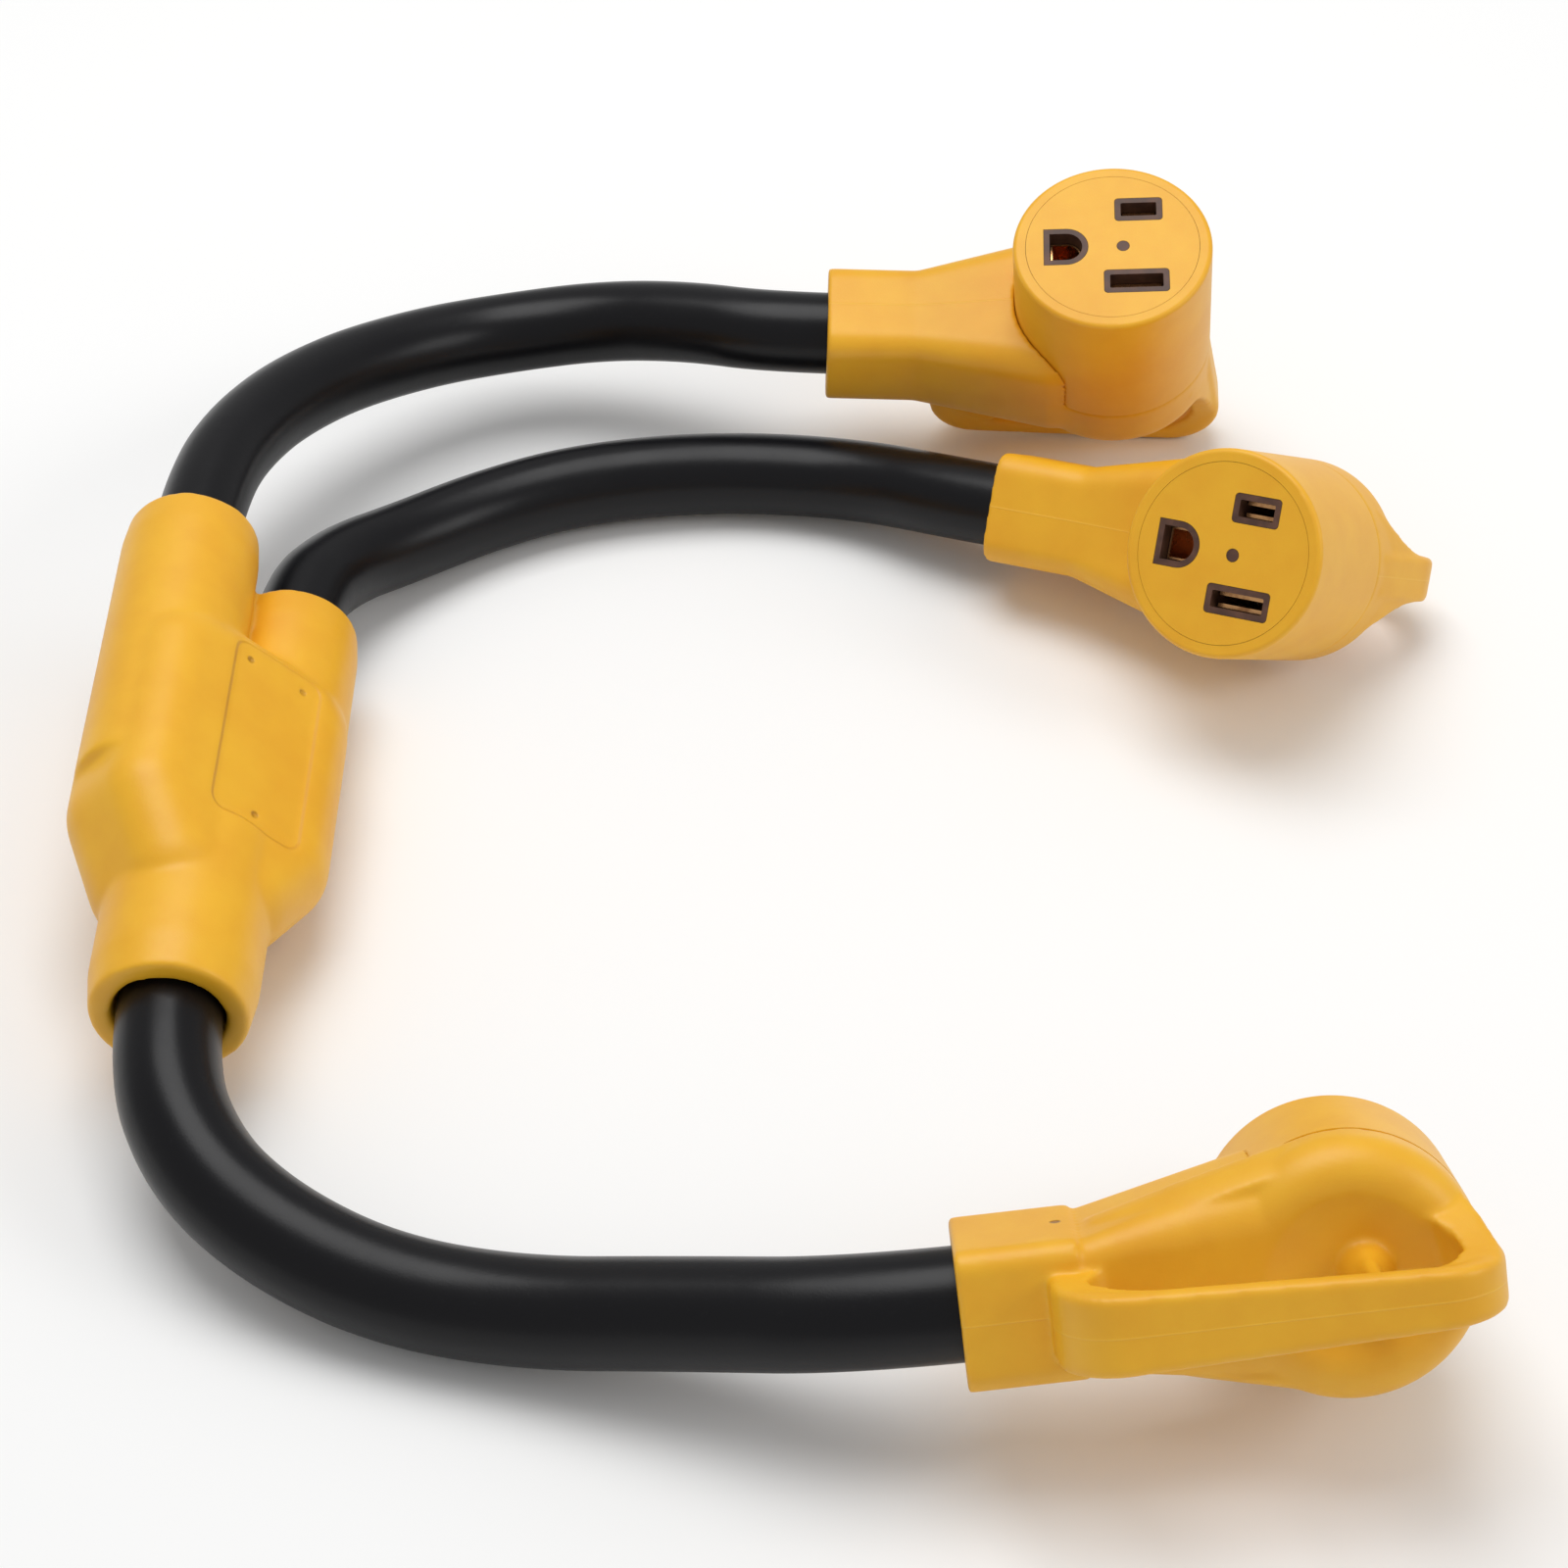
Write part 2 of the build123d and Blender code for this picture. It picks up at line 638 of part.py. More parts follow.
def make_junction_overmould():
    """The outer moulding of the junction: body, three collars, label recess and its dimples."""
    half_thickness = body_thickness / 2
    with BuildPart() as junction_overmould:
        with BuildSketch():
            with BuildLine():
                FilletPolyline(
                    (-body_start_width / 2, body_start),
                    (body_start_width / 2, body_start),
                    (body_width / 2, body_shoulder),
                    (body_width / 2, body_end),
                    (-body_width / 2, body_end),
                    (-body_width / 2, body_shoulder),
                    radius=body_corner_radius,
                    close=True,
                )
            make_face()
        extrude(amount=half_thickness, both=True)
        flats = junction_overmould.faces().filter_by(Axis.Z)
        fillet(flats.edges(), body_edge_radius)
        with BuildSketch():
            collar_profile(0, main_collar_reach, 0, main_collar_radius, main_band, main_taper)
        revolve(axis=Axis.Y)
        for x, far in branch_collars:
            with BuildSketch():
                collar_profile(x, body_shoulder + 10, far, branch_collar_radius, branch_band, branch_taper)
            revolve(axis=Axis((x, 0, 0), (0, 1, 0)))
        label_plane = Plane(origin=(*label_centre, half_thickness))
        with BuildSketch(label_plane):
            RectangleRounded(label_width, label_length, label_corner)
        extrude(amount=-label_depth, mode=Mode.SUBTRACT)
        with BuildSketch(label_plane):
            low = -label_length / 2 + dimple_inset
            high = label_length / 2 - dimple_inset
            side = label_width / 2 - dimple_inset
            with Locations((-side, high), (side, high), (0, low)):
                Circle(dimple_radius)
        extrude(amount=-label_depth - dimple_depth, mode=Mode.SUBTRACT)
        bores = [(0, 0, cord_entry_depth, main_collar_bore / 2)]
        bores.append((0, 0, splice_block_start + 1, wire_duct_radius))
        for x, far in branch_collars:
            bores.append((x, far - cord_entry_depth, far, branch_collar_bore / 2))
            bores.append((x, splice_block_end - 1, far, wire_duct_radius))
        for x, near, far, radius in bores:
            with Locations((x, (near + far) / 2, 0)):
                Cylinder(radius, far - near, rotation=(90, 0, 0), mode=Mode.SUBTRACT)
        with Locations((0, splice_block_start + splice_block_length / 2, 0)):
            Box(
                splice_block_width + 2 * inner_gap,
                splice_block_length + 2 * inner_gap,
                splice_block_thickness + 2 * inner_gap,
                mode=Mode.SUBTRACT,
            )
        with Locations((0, splice_block_end + wire_space_length / 2, 0)):
            Box(wire_space_width, wire_space_length, wire_space_height, mode=Mode.SUBTRACT)
    return junction_overmould.part


def make_splice_block():
    """The inner moulding round the splices: a sleeve, closed towards the main cord but for one hole."""
    with BuildPart() as splice_block:
        with BuildSketch(Plane.XZ.offset(-splice_block_start)):
            RectangleRounded(splice_block_width, splice_block_thickness, splice_block_corner)
        extrude(amount=-splice_block_length)
        with BuildSketch(Plane.XZ.offset(-splice_block_start - splice_block_wall)):
            Rectangle(
                splice_block_width - 2 * splice_block_wall, splice_block_thickness - 2 * splice_block_wall
            )
        extrude(amount=-splice_block_length, mode=Mode.SUBTRACT)
        with BuildSketch(Plane.XZ.offset(-splice_block_start)):
            Circle(splice_block_mouth_radius)
        extrude(amount=-splice_block_wall, mode=Mode.SUBTRACT)
    return splice_block.part


def make_ferrule(x, z, pitch):
    """A splice ferrule along y, round for one pair of wires or wide for a shared splice."""
    bore = wire_diameter + inner_gap
    with BuildPart() as ferrule:
        with BuildSketch(Plane.XZ.offset(-ferrule_middle + ferrule_length / 2)):
            with Locations((x, z)):
                if pitch:
                    SlotCenterToCenter(pitch, bore + 2 * ferrule_wall)
                    SlotCenterToCenter(pitch, bore, mode=Mode.SUBTRACT)
                else:
                    Circle(bore / 2 + ferrule_wall)
                    Circle(bore / 2, mode=Mode.SUBTRACT)
        extrude(amount=-ferrule_length)
    return ferrule.part


def make_main_lead(core_x, core_z, ferrule_x, ferrule_z):
    """A wire of the main cord from the jacket's end into its ferrule."""
    grip = ferrule_middle - ferrule_length / 2
    return rod(
        [
            (core_x, cord_entry_depth + wire_start, core_z),
            (core_x, splice_block_start + lead_spread, core_z),
            (ferrule_x, grip - 2, ferrule_z),
            (ferrule_x, ferrule_middle - 1, ferrule_z),
        ],
        wire_diameter,
        wire_bend,
    )


def make_branch_lead(collar, core_x, core_z, ferrule_x, ferrule_z):
    """A wire of a branch cord from the jacket's end into its ferrule."""
    x, far = collar
    grip = ferrule_middle + ferrule_length / 2
    return rod(
        [
            (x + core_x, far - cord_entry_depth - wire_start, core_z),
            (x + core_x, splice_block_end + wire_space_length / 2, core_z),
            (ferrule_x, grip + 4, ferrule_z),
            (ferrule_x, ferrule_middle + 1, ferrule_z),
        ],
        wire_diameter,
        wire_bend,
    )


# ---- sockets, twice the same

for letter, seat in (("a", socket_a_seat), ("b", socket_b_seat)):
    save(make_socket_drum(), f"socket_{letter}_drum", seat)
    save(make_face_core(), f"socket_{letter}_face_disc", seat)
    save(make_contact_carrier(), f"socket_{letter}_contact_carrier", seat)
    save(make_locating_pin(), f"socket_{letter}_locating_pin", seat)
    save(make_blade_contact(hot_slot), f"socket_{letter}_hot_contact", seat)
    save(make_blade_contact(neutral_slot), f"socket_{letter}_neutral_contact", seat)
    save(make_ground_contact(), f"socket_{letter}_ground_contact", seat)
    save(make_socket_overmould(), f"socket_{letter}_overmould", seat)
    save(make_socket_wire(hot_slot, 60), f"socket_{letter}_hot_wire", seat)
    save(make_socket_wire(neutral_slot, -60), f"socket_{letter}_neutral_wire", seat)
    save(make_socket_wire(ground_slot, 180), f"socket_{letter}_ground_wire", seat)

# ---- plug

save(make_plug_front(), "plug_front", plug_seat)
save(make_plug_overmould(), "plug_overmould", plug_seat)
save(make_blade(hot_prong_a), "plug_hot_blade_a", plug_seat)
save(make_blade(hot_prong_b), "plug_hot_blade_b", plug_seat)
save(make_blade(neutral_prong), "plug_neutral_blade", plug_seat)
save(make_ground_prong(), "plug_ground_prong", plug_seat)
save(make_plug_wire(hot_prong_a, -90), "plug_hot_wire_a", plug_seat)
save(make_plug_wire(hot_prong_b, 90), "plug_hot_wire_b", plug_seat)
save(make_plug_wire(neutral_prong, 0), "plug_neutral_wire", plug_seat)
save(make_plug_wire(ground_prong, 180), "plug_ground_wire", plug_seat)

# ---- junction

save(make_junction_overmould(), "junction_overmould", junction_seat)
save(make_splice_block(), "junction_splice_block", junction_seat)
for name, x, z, pitch in (
    ("hot_a", -hot_ferrule_x, 0, 0),
    ("hot_b", hot_ferrule_x, 0, 0),
    ("neutral", 0, shared_ferrule_z, shared_ferrule_pitch),
    ("ground", 0, -shared_ferrule_z, shared_ferrule_pitch),
):
    save(make_ferrule(x, z, pitch), f"junction_{name}_ferrule", junction_seat)
save(make_main_lead(-core_offset, 0, -hot_ferrule_x, 0), "main_hot_lead_a", junction_seat)
save(make_main_lead(core_offset, 0, hot_ferrule_x, 0), "main_hot_lead_b", junction_seat)
save(make_main_lead(0, core_offset, 0, shared_ferrule_z), "main_neutral_lead", junction_seat)
save(make_main_lead(0, -core_offset, 0, -shared_ferrule_z), "main_ground_lead", junction_seat)
for letter, collar, side in (("a", branch_collars[0], -1), ("b", branch_collars[1], 1)):
    inner = -side * branch_core_offset / 2
    lift = branch_core_offset * sqrt(3) / 2
    port = side * shared_ferrule_pitch / 2
    hot = make_branch_lead(collar, side * branch_core_offset, 0, side * hot_ferrule_x, 0)
    neutral = make_branch_lead(collar, inner, lift, port, shared_ferrule_z)
    ground = make_branch_lead(collar, inner, -lift, port, -shared_ferrule_z)
    save(hot, f"branch_{letter}_hot_lead", junction_seat)
    save(neutral, f"branch_{letter}_neutral_lead", junction_seat)
    save(ground, f"branch_{letter}_ground_lead", junction_seat)

# ---- cords


def neck_entry(seat, reach, depth, rise):
    """Where a cord's end lies in a neck, and the way out of it."""
    mouth = neck_plane(reach, depth, rise)
    start = seat.from_local_coords(mouth.origin - mouth.z_dir * cord_entry_depth)
    return start, seat.from_local_coords(mouth.origin + mouth.z_dir * (1 - cord_entry_depth)) - start


def collar_entry(x, far, out):
    """Where a cord's end lies in a collar of the junction, and the way out of it."""
    start = junction_seat.from_local_coords((x, far - out * cord_entry_depth, 0))
    return start, junction_seat.from_local_coords((x, far + out * (1 - cord_entry_depth), 0)) - start


def make_cord(name, diameter, near_entry, far_entry, route, exit_runs):
    """A cord along straight runs joined by the largest tangent arcs that the runs allow."""
    near, near_out = near_entry
    far, far_out = far_entry
    middle = [Vector(*point) for point in route]
    points = [near, near + near_out * exit_runs[0], *middle, far + far_out * exit_runs[1], far]
    runs = [after - before for before, after in zip(points, points[1:])]
    radii = []
    for run, next_run in zip(runs, runs[1:]):
        half_turn = radians(run.get_angle(next_run)) / 2
        radii.append(0.45 * min(run.length, next_run.length) / tan(half_turn))
    with BuildPart() as cord:
        with BuildLine() as path:
            FilletPolyline(*points, radius=radii)
        with BuildSketch(Plane(origin=near, z_dir=near_out)):
            Circle(diameter / 2)
        sweep(path=path.wire())
    length = path.wire().length
    section = pi * diameter**2 / 4
    ratio = cord.part.volume / section / length
    print(name, "length", round(length, 1), "volume over section x length", round(ratio, 4))
    print(name, "radii", [round(radius, 1) for radius in radii])
    print(name, "points", [tuple(round(value, 2) for value in point) for point in points])
    return cord.part


plug_entry = neck_entry(plug_seat, plug_neck_reach, plug_neck_depth, plug_neck_rise)
socket_neck = (socket_neck_reach, socket_neck_depth, socket_neck_rise)
main_cord = make_cord(
    "main_cord", main_cord_diameter, collar_entry(0, 0, -1), plug_entry, main_cord_route, main_exit_runs
)
save(main_cord, "main_cord")
for letter, collar, seat, route, exit_runs in (
    ("a", branch_collars[0], socket_a_seat, branch_a_route, branch_a_exit_runs),
    ("b", branch_collars[1], socket_b_seat, branch_b_route, branch_b_exit_runs),
):
    name = f"branch_cord_{letter}"
    entries = (collar_entry(*collar, 1), neck_entry(seat, *socket_neck))
    save(make_cord(name, branch_cord_diameter, *entries, route, exit_runs), name)
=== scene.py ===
import bmesh
import bpy
import json
import math
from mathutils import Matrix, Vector


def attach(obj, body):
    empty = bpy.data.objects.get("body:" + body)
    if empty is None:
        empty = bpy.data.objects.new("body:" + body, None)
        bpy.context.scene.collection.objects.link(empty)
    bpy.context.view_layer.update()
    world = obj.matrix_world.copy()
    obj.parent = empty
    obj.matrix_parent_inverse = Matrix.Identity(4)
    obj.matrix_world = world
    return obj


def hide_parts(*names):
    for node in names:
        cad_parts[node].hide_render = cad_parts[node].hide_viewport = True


# The looks of a caravan power adapter cord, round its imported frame. Metres, +Z up, floor at Z = 0.

MM = 0.001
MAIN_CORD_DIAMETER = 23.0 * MM
BRANCH_CORD_DIAMETER = 20.5 * MM

# Routes of the three cords: the same points as their tubes.
MAIN_CORD_ROUTE = [
    (-0.13117, -0.05921, 0.02594),
    (-0.13172, -0.08318, 0.02488),
    (-0.1222, -0.1058, 0.0200),
    (-0.1054, -0.1208, 0.0155),
    (-0.0814, -0.1323, 0.0116),
    (-0.0529, -0.1393, 0.0125),
    (-0.0209, -0.1463, 0.0210),
    (0.01438, -0.15566, 0.03173),
    (0.04417, -0.15373, 0.03471),
]
BRANCH_A_ROUTE = [
    (-0.13978, 0.06093, 0.04186),
    (-0.13912, 0.08989, 0.04315),
    (-0.1307, 0.1202, 0.0395),
    (-0.1149, 0.1457, 0.0340),
    (-0.0929, 0.1652, 0.0285),
    (-0.0709, 0.1752, 0.0260),
    (-0.0469, 0.1762, 0.0290),
    (-0.0249, 0.1685, 0.0345),
    (-0.00311, 0.15921, 0.03787),
    (0.02088, 0.15888, 0.03737),
]
BRANCH_B_ROUTE = [
    (-0.11732, 0.05136, 0.02028),
    (-0.11683, 0.07333, 0.02126),
    (-0.1087, 0.0922, 0.0166),
    (-0.0949, 0.1062, 0.0120),
    (-0.0769, 0.1202, 0.0104),
    (-0.0549, 0.1307, 0.0104),
    (-0.0289, 0.1359, 0.0104),
    (-0.0039, 0.1365, 0.0104),
    (0.0211, 0.1312, 0.0120),
    (0.04267, 0.11664, 0.0183),
    (0.06428, 0.10661, 0.02118),
]

# Where each moulding lies: its origin, its x direction (away from the cord) and its z direction.
SEATS = {
    "socket_a": ((0.0807, 0.1461, 0.0736), (0.997, -0.041, 0.065), (-0.075, -0.302, 0.951)),
    "socket_b": ((0.1018, 0.0545, 0.0517), (0.862, -0.475, 0.17), (-0.482, -0.655, 0.582)),
    "plug": ((0.1102, -0.1268, 0.0266), (0.99, 0.078, 0.09), (0.0, 0.839, -0.545)),
    "junction": ((-0.1314, -0.0692, 0.0255), (0.731, 0.0137, -0.682), (0.682, -0.048, 0.731)),
}

CAMERA_PLACE = (0.0001, -0.6473, 0.633)
CAMERA_TILT = math.radians(47)
CAMERA_LENS = 90.0
CAMERA_SENSOR = 36.0

SKIN_VOXEL = 0.6 * MM
SKIN_ROUNDS = 14
JUNCTION_ROUNDS = 26
HEAD_BOW = 0.02  # how far a flare bends round a socket's head, per millimetre squared
PLUG_HEAD_BOW = 0.018

# The junction's label recess and the marks in it, in its own millimetres.
LABEL_CENTRE = (3.0, 73.0)
LABEL_SIZE = (24.0, 53.0)
LABEL_CORNER = 4.0
LABEL_DEPTH = 0.35
LABEL_HEIGHT = 17.2
DIMPLES = [(-4.5, 95.0), (10.5, 95.0), (3.0, 51.0)]

# Colours of the yellow vinyl and of the marks in it: a painted highlight on the parting line, and painted
# shade at the label recess's border and in the dimples.
YELLOW_LIGHT = (0.84, 0.445, 0.018)
YELLOW_DEEP = (0.78, 0.375, 0.012)
# Painted shade along the border of the junction's label recess.
LABEL_EDGE_PAINTED_SHADE = (0.55, 0.21, 0.006)
# Painted highlight along the parting line.
PARTING_LINE_PAINTED_HIGHLIGHT = (0.92, 0.56, 0.07)
# Painted shade inside the ejector dimples.
DIMPLE_PAINTED_SHADE = (0.2, 0.06, 0.002)

# Surroundings.
WORLD_STRENGTH = 0.5
FLOOR_HALF_SIZE = 6.0

# Flares that blend a handle's legs and post into its head, as (depth, inner x, outer x, half width).
SOCKET_HEAD_FLARE = [
    (-43, 12.0, 24.2, 15.5),
    (-47, 13.5, 24.6, 13.5),
    (-51, 15.5, 25.0, 10.8),
    (-55, 18.0, 25.4, 8.4),
    (-59, 20.0, 25.8, 6.8),
    (-64, 20.5, 26.2, 5.6),
    (-68, 19.0, 26.0, 5.3),
    (-72, 14.5, 24.0, 5.1),
    (-74, 9.0, 21.0, 5.0),
]
SOCKET_NECK_FLARE = [
    (-45, -47.0, -34.0, 8.0),
    (-49, -47.0, -37.5, 7.2),
    (-53, -47.0, -41.0, 6.2),
    (-58, -47.0, -41.6, 5.4),
    (-62, -46.0, -37.0, 5.2),
    (-66, -43.0, -29.0, 5.0),
]
SOCKET_POST_FLARE = [
    (-48, -12.5, 0.5, 8.0),
    (-51, -9.8, -2.2, 6.2),
    (-54, -8.4, -3.6, 5.2),
    (-58, -7.7, -4.3, 4.6),
]
PLUG_HEAD_FLARE = [
    (-31, 12.0, 25.6, 14.0),
    (-36, 14.5, 26.2, 12.5),
    (-40, 17.5, 26.8, 10.5),
    (-44, 20.0, 27.2, 8.4),
    (-48, 20.6, 27.6, 6.6),
    (-52, 17.5, 26.6, 5.6),
    (-54, 13.0, 25.0, 5.3),
    (-56, 6.0, 22.0, 5.1),
]
PLUG_NECK_FLARE = [
    (-40, -58.4, -47.0, 8.2),
    (-43, -58.4, -50.0, 8.2),
    (-46, -58.4, -51.6, 8.2),
    (-49, -58.4, -51.0, 8.2),
    (-52, -58.0, -47.5, 8.0),
    (-54, -56.5, -43.0, 7.8),
    (-56, -54.0, -37.0, 7.6),
]
PLUG_POST_FLARE = [(-34, -5.5, 10.5, 8.0), (-38, -2.6, 7.6, 6.0), (-42, -0.4, 5.4, 5.0), (-47, 0.6, 4.4, 4.6)]
# Fullness between the plug's shoulder and its round back, as (depth, scale of the outline).
PLUG_CHEEK = [(-26.2, 0.995), (-30, 0.985), (-33, 0.95), (-36, 0.89)]
PLUG_CHEEK_OUTLINE = [(-50, 14.6), (-33, 19.4), (-16, 23.6), (-6, 26.0), (4, 26.2)]
PLUG_NECK_DIMPLES = [(-57.7, -14.25, -13.2), (-55.8, -14.25, -26.3)]

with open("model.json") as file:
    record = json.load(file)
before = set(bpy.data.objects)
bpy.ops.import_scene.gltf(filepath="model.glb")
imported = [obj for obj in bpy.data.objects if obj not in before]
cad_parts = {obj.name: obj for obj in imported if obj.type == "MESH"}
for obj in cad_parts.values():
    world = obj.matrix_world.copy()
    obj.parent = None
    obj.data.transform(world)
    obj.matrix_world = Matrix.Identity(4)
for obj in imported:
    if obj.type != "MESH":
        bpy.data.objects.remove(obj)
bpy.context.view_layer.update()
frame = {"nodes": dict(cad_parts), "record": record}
NODES = frame["nodes"]


# ---- the frame of a moulding


class Seat:
    """A moulding's own axes in the shared frame."""

    def __init__(self, name):
        place, x_dir, z_dir = SEATS[name]
        self.origin = Vector(place)
        self.z = Vector(z_dir).normalized()
        self.x = (Vector(x_dir) - self.z * Vector(x_dir).dot(self.z)).normalized()
        self.y = self.z.cross(self.x)

    def point(self, x, y, z):
        """A point given in the moulding's millimetres."""
        return self.origin + (self.x * x + self.y * y + self.z * z) * MM


# ---- shader nodes


class Field:
    """A socket of a node tree, with arithmetic."""

    def __init__(self, tree, socket):
        self.tree = tree
        self.socket = socket

    def node(self, kind, sockets, output=0, **settings):
        """A node: its settings first, then its sockets, by name or number."""
        made = self.tree.nodes.new(kind)
        for key, value in settings.items():
            setattr(made, key, value)
        for key, value in sockets.items():
            if isinstance(value, Field):
                self.tree.links.new(value.socket, made.inputs[key])
            else:
                made.inputs[key].default_value = value
        return Field(self.tree, made.outputs[output])

    def maths(self, operation, *values):
        """A Math node."""
        return self.node("ShaderNodeMath", dict(enumerate(values)), operation=operation)

    def measure(self, operation, vector):
        """A Vector Math node that gives one number."""
        return self.node("ShaderNodeVectorMath", {0: self, 1: vector}, output=1, operation=operation)

    def __add__(self, other):
        return self.maths("ADD", self, other)

    def __radd__(self, other):
        return self.maths("ADD", other, self)

    def __sub__(self, other):
        return self.maths("SUBTRACT", self, other)

    def __rsub__(self, other):
        return self.maths("SUBTRACT", other, self)

    def __mul__(self, other):
        return self.maths("MULTIPLY", self, other)

    def __rmul__(self, other):
        return self.maths("MULTIPLY", other, self)

    def __abs__(self):
        return self.maths("ABSOLUTE", self)

    def __pow__(self, other):
        return self.maths("POWER", self, other)

    def at_least(self, other):
        """The larger of two fields."""
        return self.maths("MAXIMUM", self, other)

    def distance(self, point):
        """How far a place field is from a fixed point."""
        return self.measure("DISTANCE", point)

    def dot(self, direction):
        """The dot product of a vector field and a fixed direction."""
        return self.measure("DOT_PRODUCT", direction)

    def noise(self, scale, detail=3.0, roughness=0.5):
        """Noise from 0 to 1 over a vector field."""
        sockets = {"Vector": self, "Scale": scale, "Detail": detail, "Roughness": roughness}
        return self.node("ShaderNodeTexNoise", sockets)

    def ramp(self, low, high, to_low=0.0, to_high=1.0):
        """A smooth step from to_low to to_high as the field goes from low to high."""
        sockets = {"Value": self, "From Min": low, "From Max": high, "To Min": to_low, "To Max": to_high}
        return self.node("ShaderNodeMapRange", sockets, interpolation_type="SMOOTHSTEP")

    def mix(self, colour_a, colour_b):
        """Colour a where the field is 0, colour b where it is 1."""
        sockets = {0: self}
        for number, colour in ((6, colour_a), (7, colour_b)):
            sockets[number] = colour if isinstance(colour, Field) else (*colour, 1.0)
        return self.node("ShaderNodeMix", sockets, output=2, data_type="RGBA")

    def bump(self, distance, strength=1.0, normal=None):
        """A normal from this height field, on top of another normal if one is given."""
        sockets = {"Height": self, "Distance": distance, "Strength": strength}
        if normal:
            sockets["Normal"] = normal
        return self.node("ShaderNodeBump", sockets)


def new_material(name, **constants):
    """A material, its place field and a function that links fields to its shader."""
    material = bpy.data.materials.new(name)
    material.use_nodes = True
    tree = material.node_tree
    shader = tree.nodes["Principled BSDF"]
    for key, value in constants.items():
        shader.inputs[key.replace("_", " ")].default_value = value
    place = Field(tree, tree.nodes.new("ShaderNodeTexCoord").outputs["Object"])

    def link(**fields):
        for key, field in fields.items():
            tree.links.new(field.socket, shader.inputs[key.replace("_", " ")])

    return material, place, link


def moulded_vinyl(name, light, deep, marks=None):
    """Satin moulded vinyl: a faint mottle and a fine spark-eroded grain, with any moulded marks and the
    painted highlight and painted shade given with them.
    """
    material, place, link = new_material(
        name, Coat_Weight=0.06, Coat_Roughness=0.4, Subsurface_Weight=0.08, Subsurface_Scale=0.002, IOR=1.46
    )
    material.node_tree.nodes["Principled BSDF"].inputs["Subsurface Radius"].default_value = (1.0, 0.5, 0.1)
    cloud = place.noise(26, 4)
    patch = place.noise(110, 3)
    grain = place.noise(2300, 2, 0.6)
    colour = (cloud * 0.6 + patch * 0.4).ramp(0.3, 0.7).mix(light, deep)
    relief = place.noise(420, 2).bump(0.00005, 0.45)
    relief = grain.bump(0.00004, 0.6, relief)
    if marks:
        colour, relief = marks(place, colour, relief)
    link(Base_Color=colour, Roughness=cloud * 0.08 + grain * 0.12 + 0.34, Normal=relief)
    return material


def press_dimples(place, seat, points, colour, relief):
    """Small ejector marks pressed into a moulding, as a relief and painted shade in the colour."""
    for point in points:
        hole = place.distance(seat.point(*point)).ramp(0.5 * MM, 1.25 * MM, 1.0, 0.0)
        relief = (1.0 - hole).bump(0.9 * MM, 1.0, relief)
        # Painted shade: the colour is darkened inside each dimple, where shade would fall.
        colour = (hole * 0.75).mix(colour, DIMPLE_PAINTED_SHADE)
    return colour, relief


def parting_line(seat, painted_highlight, dimples=()):
    """The faint raised line where two mould halves met, in a moulding's middle plane, with a painted
    highlight along it, and its dimples with painted shade.
    """

    def marks(place, colour, relief):
        away = abs(place.dot(seat.y) - seat.origin.dot(seat.y))
        line = away.ramp(0.06 * MM, 0.26 * MM, 1.0, 0.0)
        # Painted highlight: the parting line's colour is lightened as if its raised ridge caught the light.
        colour = (line * 0.3).mix(colour, painted_highlight)
        return press_dimples(place, seat, dimples, colour, line.bump(0.08 * MM, 0.6, relief))

    return marks


def label_recess(seat, deep):
    """The junction's shallow recess for a label, with painted shade along its border and three ejector marks
    in it.
    """

    def marks(place, colour, relief):
        centre = seat.point(*LABEL_CENTRE, LABEL_HEIGHT)
        along = abs(place.dot(seat.y) - centre.dot(seat.y)) - (LABEL_SIZE[1] / 2 - LABEL_CORNER) * MM
        across = abs(place.dot(seat.x) - centre.dot(seat.x)) - (LABEL_SIZE[0] / 2 - LABEL_CORNER) * MM
        above = (place.dot(seat.z) - seat.origin.dot(seat.z)).ramp(4 * MM, 9 * MM)
        corner = (across.at_least(0.0) ** 2 + along.at_least(0.0) ** 2) ** 0.5
        rim = (corner - LABEL_CORNER * MM).ramp(-0.5 * MM, 0.5 * MM, 0.0, 1.0)
        # Painted shade: a thin darker band, in the colour passed as deep, is painted along the recess's
        # border, where its step would be shaded.
        painted_edge_shade = abs(corner - LABEL_CORNER * MM).ramp(0.1 * MM, 0.7 * MM, 0.22, 0.0) * above
        relief = (rim * above + (1.0 - above)).bump(LABEL_DEPTH * MM, 1.0, relief)
        colour = painted_edge_shade.mix(colour, deep)
        dimples = [(*dimple, LABEL_HEIGHT) for dimple in DIMPLES]
        return press_dimples(place, seat, dimples, colour, relief)

    return marks


def rubber_jacket():
    """Black extruded jacket: satin, with drag lines and a little dust."""
    material, place, link = new_material("rubber_jacket", Specular_IOR_Level=0.3, IOR=1.45)
    cloud = place.noise(60, 4)
    grain = place.noise(1900, 2)
    ripple = place.noise(170, 2)
    dust = place.noise(640, 5, 0.7).ramp(0.56, 0.8)
    colour = (dust * 0.5).mix((0.0025, 0.0024, 0.0036), (0.007, 0.007, 0.0085))
    relief = ripple.bump(0.00015, 0.3)
    relief = grain.bump(0.00003, 0.5, relief)
    link(Base_Color=colour, Roughness=cloud * 0.12 + dust * 0.08 + 0.26, Normal=relief)
    return material


def hard_plastic(name, dark, light, roughness=0.32):
    """Hard moulded plastic with a faint flow mottle."""
    material, place, link = new_material(name, Coat_Weight=0.04, Coat_Roughness=0.4)
    flow = place.noise(260, 4)
    grain = place.noise(3000, 2)
    colour = flow.ramp(0.3, 0.75).mix(dark, light)
    link(Base_Color=colour, Roughness=flow * 0.12 + roughness - 0.06, Normal=grain.bump(0.00003, 0.5))
    return material


